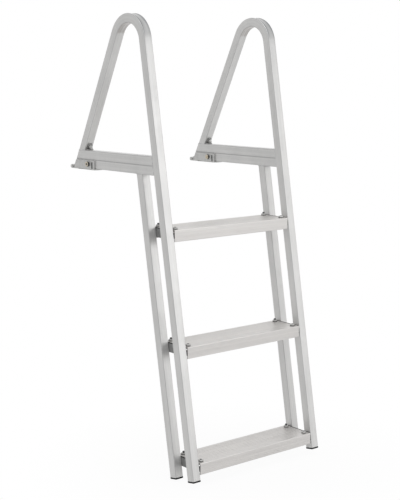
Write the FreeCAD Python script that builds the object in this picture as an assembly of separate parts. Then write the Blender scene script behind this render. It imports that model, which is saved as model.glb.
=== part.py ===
"""Flip-up dock ladder: two leaning square-tube side frames, three open-bottomed treads, two dock brackets.

Millimetres. +Z is up, the water is towards -Y, the dock lies towards +Y under the brackets.
The origin is the middle of the left bracket's base, on the face that lies on the dock.
"""
import FreeCAD, Part
import math
import os

from FreeCAD import Vector

# Square tube of both side frames
TUBE = 25.0
TUBE_WALL = 1.6
TUBE_CORNER = 1.5
TUBE_CHAMFER = 0.6 * TUBE_CORNER
HALF = TUBE / 2.0

# Side frames: two slanted rails, a hairpin handrail and its leg
FRAME_SPACING = 438.0
RAIL_LEAN = math.radians(9.85)
LEG_LEAN = math.radians(27.2)
FRONT_RAIL_Y = -334.0
RAIL_PITCH = 76.2
HAIRPIN_RADIUS = 65.0
FRONT_FOOT_Z = -797.0
REAR_FOOT_Z = -807.0

# Folded dock bracket
BASE_LENGTH = 110.0
BASE_LIP = 5.0
BASE_CHAMFER = 5.0
PLATE = 3.0
SIDE_CLEARANCE = 1.5
BRACKET_INNER = HALF + SIDE_CLEARANCE
BRACKET_OUTER = BRACKET_INNER + PLATE
BRACKET_HEIGHT = 26.0
WALL_SETBACK = 5.0
WALL_FRONT_Y = BASE_LIP - BASE_LENGTH / 2.0
SEAT_GAP = 0.4
DOCK_HOLE_IN = 24.0
DOCK_HOLE_Y = BASE_LENGTH / 2.0 - DOCK_HOLE_IN
DOCK_HOLE_RADIUS = 3.3
DOCK_SINK_RADIUS = 6.2
DOCK_SINK_DEPTH = 2.4

# Hinge at the rear lower corner of the deck rails
PIN_RADIUS = 2.5
PIN_FIT = 0.06
PIN_HEAD_RADIUS = 4.5
PIN_HEAD = 2.0
PIN_TIP = 1.5
KNUCKLE_RADIUS = PIN_RADIUS + PLATE
KNUCKLE_HALF = 7.5
KNUCKLE_GAP = 0.5
HINGE_CLEARANCE = 0.4

# Cross bolt of the bracket; the lower deck rail drops over it with a slot
BOLT_IN = 28.0
BOLT_Y = WALL_FRONT_Y + BOLT_IN
BOLT_RADIUS = 3.0
BOLT_HOLE_FIT = 0.3
BOLT_HEAD_FLATS = 13.0
BOLT_HEAD = 3.5
BOLT_COLLAR = 2.5
BOLT_COLLAR_RADIUS = 6.5
BOLT_TIP = 2.0
SLOT_RADIUS = 5.0

# Buffers in windows near the front of the bracket walls
BUFFER_LENGTH = 5.0
BUFFER_TOP_Z = PLATE + 19.0
BUFFER_IN = 6.8
BUFFER_FRONT_Y = WALL_FRONT_Y + BUFFER_IN
BUFFER_REAR_Y = BUFFER_FRONT_Y + BUFFER_LENGTH
BUFFER_GAP = 0.6

# Deck rails: two stacked tubes, cut in line with the leg
DECK_Z = PLATE + SEAT_GAP
DECK_TOP = DECK_Z + 2.0 * TUBE
DECK_REAR_Y = BASE_LENGTH / 2.0

# Treads
TREAD_PITCH = 305.0
TREAD_NAMES = ("bottom", "middle", "top")
BOTTOM_TREAD_Z = -747.0
TREAD_DEPTH = 101.6
TREAD_HEIGHT = 32.0
TREAD_SKIN = 2.5
TREAD_LIP = 8.0
TREAD_CORNER = 2.0
TREAD_END_GAP = 3.0
GROOVE_COUNT = 9
GROOVE_MARGIN = 14.0
GROOVE_WIDTH = 3.0
GROOVE_DEPTH = 0.8

# Angles that carry the tread ends
ANGLE_PLATE = 3.0
ANGLE_REACH = 34.0
ANGLE_HEIGHT = 24.0
ANGLE_FIT = 3.5
ANGLE_DEPTH = TREAD_DEPTH - 2.0 * (TREAD_SKIN + ANGLE_FIT)

# Plugs and caps in the tube ends
PLUG_FIT = 0.2
CAP_FLANGE = 3.5
CAP_SPIGOT = 16.0
LUG_SPIGOT = 26.0
DECK_PLUG_LENGTH = 16.0

# Cleat in the corner between the leg and the upper deck rail
CLEAT_PLATE = 3.0
CLEAT_UP = 21.0
CLEAT_OUT = 9.0
CLEAT_HALF_FOOT = 11.5
CLEAT_HALF_TOP = 5.0
CLEAT_BOLT_UP = 13.5
CLEAT_BOLT_FLATS = 10.0
CLEAT_BOLT_HEAD = 5.0
CLEAT_BOLT_RADIUS = 3.0
CLEAT_BOLT_LENGTH = 10.0
CLEAT_BOLT_TIP = 5.0

X_AXIS = Vector(1, 0, 0)
Z_AXIS = Vector(0, 0, 1)
CUT_OVER = 2.0


def rail_y(z):
    """Centreline of the front rail at height z."""
    return FRONT_RAIL_Y + z * math.tan(RAIL_LEAN)


def leg_y(z):
    """Centreline of the leg at height z; its rear face runs through the deck rails' rear ends."""
    return DECK_REAR_Y - HALF / math.cos(LEG_LEAN) - (z - DECK_Z) * math.tan(LEG_LEAN)


def rear_cut_y(z):
    """Slanted rear end of the deck rails."""
    return DECK_REAR_Y - (z - DECK_Z) * math.tan(LEG_LEAN)


PIVOT_Z = KNUCKLE_RADIUS
PIVOT_OFF = KNUCKLE_RADIUS + HINGE_CLEARANCE
PIVOT_Y = rear_cut_y(PIVOT_Z) + PIVOT_OFF / math.cos(LEG_LEAN)
BOLT_Z = DECK_Z + HALF


def box(x0, x1, y0, y1, z0, z1):
    """Box between two corners."""
    return Part.makeBox(x1 - x0, y1 - y0, z1 - z0, Vector(x0, y0, z0))


def slab(outline, half):
    """Outline of (y, z) points, spread to both sides of x = 0."""
    points = [Vector(-half, y, z) for y, z in outline]
    face = Part.Face(Part.makePolygon(points + points[:1]))
    return face.extrude(Vector(2.0 * half, 0, 0))


def rod(radius, x0, x1, y, z):
    """Cylinder along X."""
    return Part.makeCylinder(radius, x1 - x0, Vector(x0, y, z), X_AXIS)


def hexagon(flats, height, base, axis):
    """Hexagonal bolt head or nut."""
    radius = flats / math.sqrt(3.0)
    corners = [Vector(radius * math.cos(math.radians(60 * k)), radius * math.sin(math.radians(60 * k)), 0)
               for k in range(7)]
    head = Part.Face(Part.makePolygon(corners)).extrude(Vector(0, 0, height))
    head.Placement = FreeCAD.Placement(base, FreeCAD.Rotation(Z_AXIS, axis))
    return head


def rounded(solid, radius, keep):
    """Fillet of the edges that keep(edge) picks."""
    return solid.makeFillet(radius, [edge for edge in solid.Edges if keep(edge)])


def straight_along(way, length=TUBE):
    """Test for a straight edge longer than length that runs along a way."""
    def keep(edge):
        run = edge.Vertexes[-1].Point.sub(edge.Vertexes[0].Point)
        return run.Length > length and abs(run.normalize().dot(way)) > 0.999
    return keep


def direction(lean):
    """Unit vector up a tube that leans by an angle towards +Y."""
    return Vector(0, math.sin(lean), math.cos(lean))


def across(lean):
    """Unit vector square to a tube that leans towards +Y, pointing to the water."""
    return Vector(0, -math.cos(lean), math.sin(lean))


def hairpin_centre():
    """Centre of the hairpin bend, at its radius from the rail's and the leg's centrelines."""
    gap = HAIRPIN_RADIUS / math.cos(RAIL_LEAN) + HAIRPIN_RADIUS / math.cos(LEG_LEAN)
    slope = math.tan(RAIL_LEAN) + math.tan(LEG_LEAN)
    z = (leg_y(0) - rail_y(0) - gap) / slope
    return Vector(0, rail_y(z) + HAIRPIN_RADIUS / math.cos(RAIL_LEAN), z)


def hairpin_face(half, below):
    """Face of the bent tube in the YZ plane, half its height each side, drawn out below both ends."""
    centre = hairpin_centre()
    front = across(RAIL_LEAN)
    rear = across(-LEG_LEAN).multiply(-1.0)
    foot = Vector(0, rail_y(FRONT_FOOT_Z), FRONT_FOOT_Z)
    foot = foot.add(direction(RAIL_LEAN).multiply(CAP_FLANGE - below))
    end_z = DECK_TOP - below
    lines = []
    for side in (1.0, -1.0):
        radius = HAIRPIN_RADIUS + side * half
        start = foot.add(Vector(front).multiply(side * half))
        bend_in = centre.add(Vector(front).multiply(radius))
        crown = centre.add(Vector(0, 0, radius))
        bend_out = centre.add(Vector(rear).multiply(radius))
        end = Vector(0, leg_y(end_z) + side * half / math.cos(LEG_LEAN), end_z)
        lines.append((start, bend_in, crown, bend_out, end))
    outer, inner = lines
    edges = [
        Part.makeLine(outer[0], outer[1]),
        Part.Arc(outer[1], outer[2], outer[3]).toShape(),
        Part.makeLine(outer[3], outer[4]),
        Part.makeLine(outer[4], inner[4]),
        Part.makeLine(inner[4], inner[3]),
        Part.Arc(inner[3], inner[2], inner[1]).toShape(),
        Part.makeLine(inner[1], inner[0]),
        Part.makeLine(inner[0], outer[0]),
    ]
    return Part.Face(Part.Wire(edges))


def spread(face, half):
    """Face of the YZ plane, spread to both sides of x = 0."""
    solid = face.extrude(Vector(2.0 * half, 0, 0))
    solid.translate(Vector(-half, 0, 0))
    return solid


def long_side_edge(edge):
    """Edge of a bent or straight tube that runs along it at one side."""
    xs = [vertex.Point.x for vertex in edge.Vertexes]
    level = max(xs) - min(xs) < 0.01
    return level and edge.Length > 1.2 * TUBE


def front_rail():
    """Rail from its foot up to the hairpin, and down again as the leg on the deck rails."""
    outer = spread(hairpin_face(HALF, 0.0), HALF)
    outer = outer.makeChamfer(TUBE_CHAMFER, [edge for edge in outer.Edges if long_side_edge(edge)])
    bore = HALF - TUBE_WALL
    tube = outer.cut(spread(hairpin_face(bore, CUT_OVER), bore))
    hole = Part.makeCylinder(CLEAT_BOLT_RADIUS + BOLT_HOLE_FIT, TUBE_WALL + 2.0 * CUT_OVER,
                             cleat_point(CLEAT_BOLT_UP, CUT_OVER), across(-LEG_LEAN).multiply(-1.0))
    return tube.cut(hole)


def rear_rail():
    """Straight rail from its foot to the underside of the deck rails."""
    def outline(half, over):
        foot = Vector(0, rail_y(REAR_FOOT_Z) + RAIL_PITCH, REAR_FOOT_Z)
        foot = foot.add(direction(RAIL_LEAN).multiply(CAP_FLANGE - over))
        side = across(RAIL_LEAN).multiply(half)
        top_z = DECK_Z + over
        top_y = rail_y(top_z) + RAIL_PITCH
        reach = half / math.cos(RAIL_LEAN)
        low = foot.sub(side)
        high = foot.add(side)
        return [(high.y, high.z), (top_y - reach, top_z), (top_y + reach, top_z), (low.y, low.z)]
    outer = rounded(slab(outline(HALF, 0.0), HALF), TUBE_CORNER, long_side_edge)
    bore = HALF - TUBE_WALL
    return outer.cut(slab(outline(bore, CUT_OVER), bore))


def deck_rail(low):
    """Deck rail whose underside is at height low, from the front rail to the slanted rear cut."""
    high = low + TUBE
    face_off = HALF / math.cos(RAIL_LEAN)
    outline = [(rail_y(low) + face_off, low), (rear_cut_y(low), low),
               (rear_cut_y(high), high), (rail_y(high) + face_off, high)]
    outer = rounded(slab(outline, HALF), TUBE_CORNER, straight_along(Vector(0, 1, 0)))
    bore = HALF - TUBE_WALL
    hollow = box(-bore, bore, rail_y(low), DECK_REAR_Y + CUT_OVER, low + TUBE_WALL, high - TUBE_WALL)
    return outer.cut(hollow)


def lower_deck_rail():
    """Lower deck rail with a slot across its underside that drops over the cross bolt."""
    slot = rod(SLOT_RADIUS, -TUBE, TUBE, BOLT_Y, BOLT_Z)
    mouth = box(-TUBE, TUBE, BOLT_Y - SLOT_RADIUS, BOLT_Y + SLOT_RADIUS, 0, BOLT_Z)
    return deck_rail(DECK_Z).cut(slot.fuse(mouth))


def rear_end_plug(low, length):
    """Plug inside a deck rail's rear end, flush with the slanted cut."""
    half = HALF - TUBE_WALL - PLUG_FIT
    z0 = low + HALF - half
    z1 = low + HALF + half
    front = rear_cut_y(z1) - length
    return slab([(front, z0), (rear_cut_y(z0), z0), (rear_cut_y(z1), z1), (front, z1)], half)


def hinge_lug():
    """Plug of the lower deck rail with the neck and the middle knuckle of the hinge."""
    neck_low = DECK_Z + TUBE_WALL
    neck_high = DECK_Z + HALF
    crest_y = PIVOT_Y + KNUCKLE_RADIUS * math.sin(LEG_LEAN)
    crest_z = PIVOT_Z + KNUCKLE_RADIUS * math.cos(LEG_LEAN)
    neck = slab([(rear_cut_y(neck_low) - TUBE_WALL, neck_low),
                 (PIVOT_Y, neck_low),
                 (crest_y, crest_z),
                 (rear_cut_y(neck_high), neck_high),
                 (rear_cut_y(neck_high) - TUBE_WALL, neck_high)], KNUCKLE_HALF)
    barrel = rod(KNUCKLE_RADIUS, -KNUCKLE_HALF, KNUCKLE_HALF, PIVOT_Y, PIVOT_Z)
    lug = rear_end_plug(DECK_Z, LUG_SPIGOT).fuse([neck, barrel]).removeSplitter()
    return lug.cut(rod(PIN_RADIUS + PIN_FIT, -TUBE, TUBE, PIVOT_Y, PIVOT_Z))


def bracket():
    """Folded bracket: base on the dock, two walls with a window each, two curled knuckles at the rear."""
    tongue_y = PIVOT_Y - KNUCKLE_RADIUS - HINGE_CLEARANCE
    front_y = -BASE_LENGTH / 2.0
    cheek_y = front_y + BASE_CHAMFER
    cheek_x = BRACKET_OUTER - BASE_CHAMFER
    corners = [(-BRACKET_OUTER, tongue_y), (-BRACKET_OUTER, cheek_y), (-cheek_x, front_y),
               (cheek_x, front_y), (BRACKET_OUTER, cheek_y), (BRACKET_OUTER, tongue_y)]
    points = [Vector(x, y, 0) for x, y in corners]
    shape = Part.Face(Part.makePolygon(points + points[:1])).extrude(Vector(0, 0, PLATE))
    knuckle_x = KNUCKLE_HALF + KNUCKLE_GAP
    wall_top_y = rear_cut_y(BRACKET_HEIGHT) - WALL_SETBACK
    wall_foot_y = rear_cut_y(0) - WALL_SETBACK
    outline = [(WALL_FRONT_Y, 0), (wall_foot_y, 0),
               (wall_top_y, BRACKET_HEIGHT), (WALL_FRONT_Y, BRACKET_HEIGHT)]
    for side in (-1.0, 1.0):
        wall = slab(outline, PLATE / 2.0)
        wall.translate(Vector(side * (BRACKET_INNER + PLATE / 2.0), 0, 0))
        k0 = min(side * knuckle_x, side * BRACKET_OUTER)
        k1 = max(side * knuckle_x, side * BRACKET_OUTER)
        leaf = box(k0, k1, tongue_y - PLATE, PIVOT_Y, 0, PLATE)
        shape = shape.fuse([wall, leaf, rod(KNUCKLE_RADIUS, k0, k1, PIVOT_Y, PIVOT_Z)])
    shape = shape.cut(rod(PIN_RADIUS + PIN_FIT, -TUBE, TUBE, PIVOT_Y, PIVOT_Z))
    bolt_hole = rod(BOLT_RADIUS + BOLT_HOLE_FIT, -TUBE, TUBE, BOLT_Y, BOLT_Z)
    window = box(-TUBE, TUBE, BUFFER_FRONT_Y, BUFFER_REAR_Y, PLATE, BUFFER_TOP_Z)
    shape = shape.cut([bolt_hole, window]).removeSplitter()
    for y in (-DOCK_HOLE_Y, DOCK_HOLE_Y):
        hole = Part.makeCylinder(DOCK_HOLE_RADIUS, PLATE, Vector(0, y, 0))
        sink = Part.makeCone(DOCK_HOLE_RADIUS, DOCK_SINK_RADIUS, DOCK_SINK_DEPTH,
                             Vector(0, y, PLATE - DOCK_SINK_DEPTH))
        shape = shape.cut(hole.fuse(sink))
    return shape


def buffers():
    """Pair of buffers that stand on the base in the windows of the bracket walls."""
    pads = []
    for side in (-1.0, 1.0):
        near = side * (HALF + BUFFER_GAP)
        far = side * BRACKET_OUTER
        pads.append(box(min(near, far), max(near, far), BUFFER_FRONT_Y, BUFFER_REAR_Y,
                        PLATE, BUFFER_TOP_Z))
    return Part.makeCompound(pads)


def hinge_pin():
    """Pin through the three knuckles, its head on the outer side of the ladder."""
    shaft = rod(PIN_RADIUS, -BRACKET_OUTER, BRACKET_OUTER + PIN_TIP, PIVOT_Y, PIVOT_Z)
    head = rod(PIN_HEAD_RADIUS, -BRACKET_OUTER - PIN_HEAD, -BRACKET_OUTER, PIVOT_Y, PIVOT_Z)
    return shaft.fuse(head).removeSplitter()


def cross_bolt():
    """Bolt across the bracket, its head and nut on collars outside the walls."""
    reach = BRACKET_OUTER + BOLT_COLLAR
    shaft = rod(BOLT_RADIUS, -reach, reach + BOLT_HEAD + BOLT_TIP, BOLT_Y, BOLT_Z)
    collars = [rod(BOLT_COLLAR_RADIUS, -reach, -BRACKET_OUTER, BOLT_Y, BOLT_Z),
               rod(BOLT_COLLAR_RADIUS, BRACKET_OUTER, reach, BOLT_Y, BOLT_Z)]
    head = hexagon(BOLT_HEAD_FLATS, BOLT_HEAD, Vector(-reach - BOLT_HEAD, BOLT_Y, BOLT_Z), X_AXIS)
    nut = hexagon(BOLT_HEAD_FLATS, BOLT_HEAD, Vector(reach, BOLT_Y, BOLT_Z), X_AXIS)
    return shaft.fuse(collars + [head, nut]).removeSplitter()


def cleat_point(up, out):
    """Point at a distance up the leg's front face, and out from it towards the water."""
    foot = Vector(0, leg_y(DECK_TOP) - HALF / math.cos(LEG_LEAN), DECK_TOP)
    return foot.add(direction(-LEG_LEAN).multiply(up)).add(across(-LEG_LEAN).multiply(out))


def corner_cleat():
    """Bent plate: a tapered leaf up the leg's front face, a short foot on the upper deck rail."""
    corners = [cleat_point(0, 0), cleat_point(CLEAT_UP, 0), cleat_point(CLEAT_UP, CLEAT_PLATE)]
    low = corners[0]
    front_y = low.y - CLEAT_OUT
    inner = cleat_point(CLEAT_UP / 2.0, CLEAT_PLATE)
    run = math.tan(LEG_LEAN)
    knee_z = DECK_TOP + CLEAT_PLATE
    knee_y = inner.y + (inner.z - knee_z) * run
    outline = [(p.y, p.z) for p in corners] + [(knee_y, knee_z), (front_y, knee_z), (front_y, DECK_TOP)]
    plate = slab(outline, CLEAT_HALF_FOOT)
    top = corners[1].z
    taper_base = knee_z + CLEAT_PLATE / 3.0
    for side in (-1.0, 1.0):
        trim = [Vector(side * CLEAT_HALF_FOOT, low.y - TUBE, taper_base),
                Vector(side * TUBE, low.y - TUBE, taper_base),
                Vector(side * TUBE, low.y - TUBE, top + CUT_OVER),
                Vector(side * CLEAT_HALF_TOP, low.y - TUBE, top + CUT_OVER)]
        plate = plate.cut(Part.Face(Part.makePolygon(trim + trim[:1])).extrude(Vector(0, 2.0 * TUBE, 0)))
    hole = Part.makeCylinder(CLEAT_BOLT_RADIUS + BOLT_HOLE_FIT, CLEAT_PLATE + 2.0 * CUT_OVER,
                             cleat_point(CLEAT_BOLT_UP, CLEAT_PLATE + CUT_OVER),
                             across(-LEG_LEAN).multiply(-1.0))
    return plate.cut(hole)


def cleat_bolt():
    """Hexagon nut on the cleat, with the bolt that runs through it into the leg."""
    outward = across(-LEG_LEAN)
    seat = cleat_point(CLEAT_BOLT_UP, CLEAT_PLATE)
    head = hexagon(CLEAT_BOLT_FLATS, CLEAT_BOLT_HEAD, seat, outward)
    tip = cleat_point(CLEAT_BOLT_UP, CLEAT_PLATE + CLEAT_BOLT_HEAD + CLEAT_BOLT_TIP)
    length = CLEAT_BOLT_LENGTH + CLEAT_BOLT_HEAD + CLEAT_BOLT_TIP
    shaft = Part.makeCylinder(CLEAT_BOLT_RADIUS, length, tip, Vector(outward).multiply(-1.0))
    return head.fuse(shaft).removeSplitter()


def foot_cap(y, z):
    """Black cap: a flange as wide as the tube and a spigot inside it, square to the leaning rail."""
    bore = HALF - TUBE_WALL - PLUG_FIT
    flange = box(-HALF, HALF, -HALF, HALF, 0, CAP_FLANGE)
    flange = rounded(flange, TUBE_CORNER, straight_along(Z_AXIS, 0.5 * CAP_FLANGE))
    cap = flange.fuse(box(-bore, bore, -bore, bore, CAP_FLANGE, CAP_FLANGE + CAP_SPIGOT))
    cap.rotate(Vector(0, 0, 0), X_AXIS, -math.degrees(RAIL_LEAN))
    cap.translate(Vector(0, y, z))
    return cap


def tread_centre_y(top):
    """Middle of a tread, halfway between the two rails at its mid height."""
    return rail_y(top - TREAD_HEIGHT / 2.0) + RAIL_PITCH / 2.0


def tread(top):
    """Extrusion with a ribbed top, two walls and a lip along the foot of each wall, open below."""
    x0 = HALF + TREAD_END_GAP
    x1 = FRAME_SPACING - x0
    y = tread_centre_y(top)
    y0 = y - TREAD_DEPTH / 2.0
    y1 = y + TREAD_DEPTH / 2.0
    bottom = top - TREAD_HEIGHT
    body = rounded(box(x0, x1, y0, y1, bottom, top), TREAD_CORNER, straight_along(X_AXIS, TREAD_DEPTH))
    cuts = [box(x0 - CUT_OVER, x1 + CUT_OVER, y0 + TREAD_SKIN, y1 - TREAD_SKIN,
                bottom + TREAD_SKIN, top - TREAD_SKIN),
            box(x0 - CUT_OVER, x1 + CUT_OVER, y0 + TREAD_LIP, y1 - TREAD_LIP,
                bottom - CUT_OVER, bottom + TREAD_SKIN + CUT_OVER)]
    pitch = (TREAD_DEPTH - 2.0 * GROOVE_MARGIN) / (GROOVE_COUNT - 1)
    for k in range(GROOVE_COUNT):
        front = y0 + GROOVE_MARGIN + k * pitch - GROOVE_WIDTH / 2.0
        cuts.append(box(x0 - CUT_OVER, x1 + CUT_OVER, front, front + GROOVE_WIDTH,
                        top - GROOVE_DEPTH, top + CUT_OVER))
    return body.cut(cuts)


def at_side(shape, side):
    """Piece of the left frame, or its mirror image on the right frame."""
    if side == "right":
        return shape.mirror(Vector(FRAME_SPACING / 2.0, 0, 0), X_AXIS)
    return shape


def step_bracket(top, side):
    """Angle that lies flat on both rails, its upper leaf under the tread's top."""
    y = tread_centre_y(top)
    z1 = top - TREAD_SKIN
    y0 = y - ANGLE_DEPTH / 2.0
    y1 = y + ANGLE_DEPTH / 2.0
    x0 = HALF
    x1 = HALF + ANGLE_REACH
    shape = box(x0, x1, y0, y1, z1 - ANGLE_HEIGHT, z1)
    shape = shape.cut(box(x0 + ANGLE_PLATE, x1 + CUT_OVER, y0 - CUT_OVER, y1 + CUT_OVER,
                          z1 - ANGLE_HEIGHT - CUT_OVER, z1 - ANGLE_PLATE))
    return at_side(shape, side)


def save(name, shape):
    """One closed piece, one file."""
    shape.exportStep("parts/%s.step" % name)


os.makedirs("parts", exist_ok=True)

SIDE_PIECES = {
    "bracket": bracket(),
    "buffer": buffers(),
    "hinge_pin": hinge_pin(),
    "front_rail": front_rail(),
    "rear_rail": rear_rail(),
    "deck_rail_lower": lower_deck_rail(),
    "deck_rail_upper": deck_rail(DECK_Z + TUBE),
    "hinge_lug": hinge_lug(),
    "deck_plug": rear_end_plug(DECK_Z + TUBE, DECK_PLUG_LENGTH),
    "cross_bolt": cross_bolt(),
    "corner_cleat": corner_cleat(),
    "cleat_bolt": cleat_bolt(),
    "foot_cap_front": foot_cap(rail_y(FRONT_FOOT_Z), FRONT_FOOT_Z),
    "foot_cap_rear": foot_cap(rail_y(REAR_FOOT_Z) + RAIL_PITCH, REAR_FOOT_Z),
}
for piece, solid in SIDE_PIECES.items():
    for side in ("left", "right"):
        save("%s_%s" % (piece, side), at_side(solid, side))

for number, level in enumerate(TREAD_NAMES):
    height = BOTTOM_TREAD_Z + number * TREAD_PITCH
    save("tread_%s" % level, tread(height))
    for side in ("left", "right"):
        save("step_bracket_%s_%s" % (level, side), step_bracket(height, side))
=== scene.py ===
"""Looks of the flip-up dock ladder: drawn tube frames, ribbed treads, brackets, fasteners and the studio.

Lengths are written in millimetres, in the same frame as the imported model, and turned into metres
when a piece is finished.
"""

import logging
import math
from dataclasses import dataclass
from enum import Enum
from itertools import pairwise
from typing import Any, Callable, Iterable, Mapping, Sequence

import bmesh
import bpy
from bmesh.types import BMEdge, BMFace, BMVert
from mathutils import Matrix, Vector


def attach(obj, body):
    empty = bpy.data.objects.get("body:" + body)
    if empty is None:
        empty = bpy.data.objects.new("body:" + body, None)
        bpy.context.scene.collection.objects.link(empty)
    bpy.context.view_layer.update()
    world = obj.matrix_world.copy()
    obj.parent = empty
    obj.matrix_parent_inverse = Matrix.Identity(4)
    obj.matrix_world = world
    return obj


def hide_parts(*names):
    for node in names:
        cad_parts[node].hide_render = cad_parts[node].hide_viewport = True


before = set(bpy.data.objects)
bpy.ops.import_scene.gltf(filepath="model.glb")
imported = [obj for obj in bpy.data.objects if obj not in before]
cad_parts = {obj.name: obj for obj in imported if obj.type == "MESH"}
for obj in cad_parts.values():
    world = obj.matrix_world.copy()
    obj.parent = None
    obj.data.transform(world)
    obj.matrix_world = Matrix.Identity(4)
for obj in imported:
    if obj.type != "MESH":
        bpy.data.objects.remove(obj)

LOG = logging.getLogger("dock_ladder")
MM = 0.001
Point = tuple[float, float, float]
Colour = tuple[float, float, float]
Span = tuple[float, float]
FRAME_SPACING = 438.0  # between the middle planes of both side frames
BEND = "bend"  # attribute that marks the skin of the hairpin bend, where its dull skin, painted shade and painted highlight lie
MERGE_REACH = 0.004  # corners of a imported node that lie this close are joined
CUT_REACH = 0.0001  # corners this close to a cutting plane lie on it
NEAR = 0.1  # places this close count as the same
FLAT_ANGLE = 0.6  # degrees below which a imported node's faces become one
CREASE_ANGLE = 50.0  # degrees above which an edge is shaded sharp
ALIGNED = 0.99  # cosine above which two directions count as the same
SIDEWAYS = 0.7  # size of a normal's X above which a face looks to the side
SHAFT_SIDES = 28
ROUND_ROWS = 4  # rows of faces over a rounded corner
NUT_ROWS = 3  # rows of faces over the edge of a nut or cap
UP: Point = (0.0, 0.0, 1.0)
WHITE = (1.0, 1.0, 1.0, 1.0)


def triple(level: float) -> Point:
    """The same number three times, for a neutral colour or an even stretch."""
    return (level, level, level)


class Body(Enum):
    """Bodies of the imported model."""

    BRACKETS = "dock_brackets"
    LADDER = "ladder"


class Side(Enum):
    """The two side frames; the right one mirrors the left one."""

    LEFT = "left"
    RIGHT = "right"


class Slot(Enum):
    """Material slots of the record."""

    TUBE = "tube"
    TREAD = "tread"
    BRACKET = "bracket"
    CAST = "cast"
    ANGLE = "angle"
    CLEAT = "cleat"
    STEEL = "steel"
    YELLOW_ZINC = "yellow_zinc"
    BUFFER = "buffer"
    CAP = "cap"


class Grain(Enum):
    """Coordinates that a finish follows."""

    ALONG_TUBE = "UV"
    IN_PLACE = "Object"


class Signal:
    """A shader socket that takes part in Python expressions."""

    def __init__(self, graph: "Graph", socket: bpy.types.NodeSocket) -> None:
        """Wraps an output socket of a graph."""
        self.graph = graph
        self.socket = socket

    def _math(self, operation: str, first: Any, second: Any) -> "Signal":
        """One Math node on two values or signals."""
        return self.graph.node("ShaderNodeMath", {"operation": operation}, {0: first, 1: second})

    def __add__(self, other: Any) -> "Signal":
        """Sum, also with a number on the left."""
        return self._math("ADD", self, other)

    def __sub__(self, other: Any) -> "Signal":
        """Difference."""
        return self._math("SUBTRACT", self, other)

    def __rsub__(self, other: Any) -> "Signal":
        """Difference with a number on the left."""
        return self._math("SUBTRACT", other, self)

    def __mul__(self, other: Any) -> "Signal":
        """Product, also with a number on the left."""
        return self._math("MULTIPLY", self, other)

    __radd__ = __add__
    __rmul__ = __mul__

    def highest(self, other: Any) -> "Signal":
        """The larger of two values."""
        return self._math("MAXIMUM", self, other)


class Graph:
    """Node tree of a material or of the world."""

    def __init__(self, tree: bpy.types.NodeTree) -> None:
        """Takes a tree over and empties it."""
        self.tree = tree
        tree.nodes.clear()

    def node(self, kind: str, settings: Mapping[str, Any], inputs: Mapping[Any, Any],
             output: Any = 0) -> Signal:
        """Adds a node.

        Args:
            kind: Blender's name of the node type.
            settings: Properties, set before the sockets; "stops" fills a colour ramp.
            inputs: Values or signals by socket name or number.
            output: Name or number of the output to hand back.

        Returns:
            The chosen output, or the first one.
        """
        made = self.tree.nodes.new(kind)
        for key, value in settings.items():
            if key == "stops":
                self._fill_ramp(made.color_ramp, value)
            else:
                setattr(made, key, value)
        for key, value in inputs.items():
            if isinstance(value, Signal):
                self.tree.links.new(value.socket, made.inputs[key])
            else:
                made.inputs[key].default_value = value
        return Signal(self, made.outputs[output] if len(made.outputs) else None)

    @staticmethod
    def _fill_ramp(ramp: bpy.types.ColorRamp, stops: Sequence[Span]) -> None:
        """Sets a grey ramp's stops, given as (place, level).

        Args:
            ramp: The colour ramp.
            stops: Its stops.
        """
        while len(ramp.elements) < len(stops):
            ramp.elements.new(1.0)
        for element, (place, level) in zip(ramp.elements, stops):
            element.position = place
            element.color = (*triple(level), 1.0)

    def coordinates(self, grain: Grain, stretch: Point) -> Signal:
        """Coordinates of a grain, stretched per axis."""
        source = self.node("ShaderNodeTexCoord", {}, {}, grain.value)
        return self.node("ShaderNodeVectorMath", {"operation": "MULTIPLY"}, {0: source, 1: stretch})

    def axis(self, grain: Grain, name: str) -> Signal:
        """One coordinate of a grain, in metres."""
        return self.node("ShaderNodeSeparateXYZ", {}, {0: self.coordinates(grain, triple(1.0))}, name)

    def rise(self, value: Signal, span: Span) -> Signal:
        """0 at a span's first value, growing to 1 at its second one."""
        return self.node("ShaderNodeMapRange", {}, {"Value": value, "From Min": span[0], "From Max": span[1]})

    def noise(self, grain: Grain, stretch: Point, detail: float) -> Signal:
        """Fractal noise whose grains are 1/stretch metres long on each axis."""
        return self.node("ShaderNodeTexNoise", {},
                         {"Vector": self.coordinates(grain, stretch), "Scale": 1.0, "Detail": detail})

    def ramp(self, value: Signal, *stops: Span) -> Signal:
        """Remaps a value through a grey ramp."""
        return self.node("ShaderNodeValToRGB", {"stops": stops}, {"Fac": value})

    def patches(self, grain: Grain, stretch: Point, detail: float, span: Span) -> Signal:
        """Soft patches of 1 on 0 where the noise passes a span of levels."""
        return self.ramp(self.noise(grain, stretch, detail), (span[0], 0.0), (span[1], 1.0))

    def blend(self, factor: Signal, first: Any, second: Any) -> Signal:
        """Mixes two colours; either may be a signal.

        Args:
            factor: Share of the second colour.
            first: Colour or signal at 0.
            second: Colour or signal at 1.

        Returns:
            The mixed colour.
        """
        def full(value: Any) -> Any:
            """A colour with its alpha, or the signal itself."""
            return value if isinstance(value, Signal) else (*value, 1.0)
        return self.node("ShaderNodeMix", {"data_type": "RGBA"},
                         {"Factor": factor, 6: full(first), 7: full(second)}, 2)

    def bump(self, height: Signal, depth: float) -> Signal:
        """Surface normal from a height signal, depth in metres."""
        return self.node("ShaderNodeBump", {}, {"Height": height, "Distance": depth, "Strength": 1.0})

    def surface(self, inputs: Mapping[str, Any]) -> None:
        """Principled surface with the given sockets, joined to the output."""
        shader = self.node("ShaderNodeBsdfPrincipled", {}, inputs)
        self.node("ShaderNodeOutputMaterial", {}, {"Surface": shader})


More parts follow.
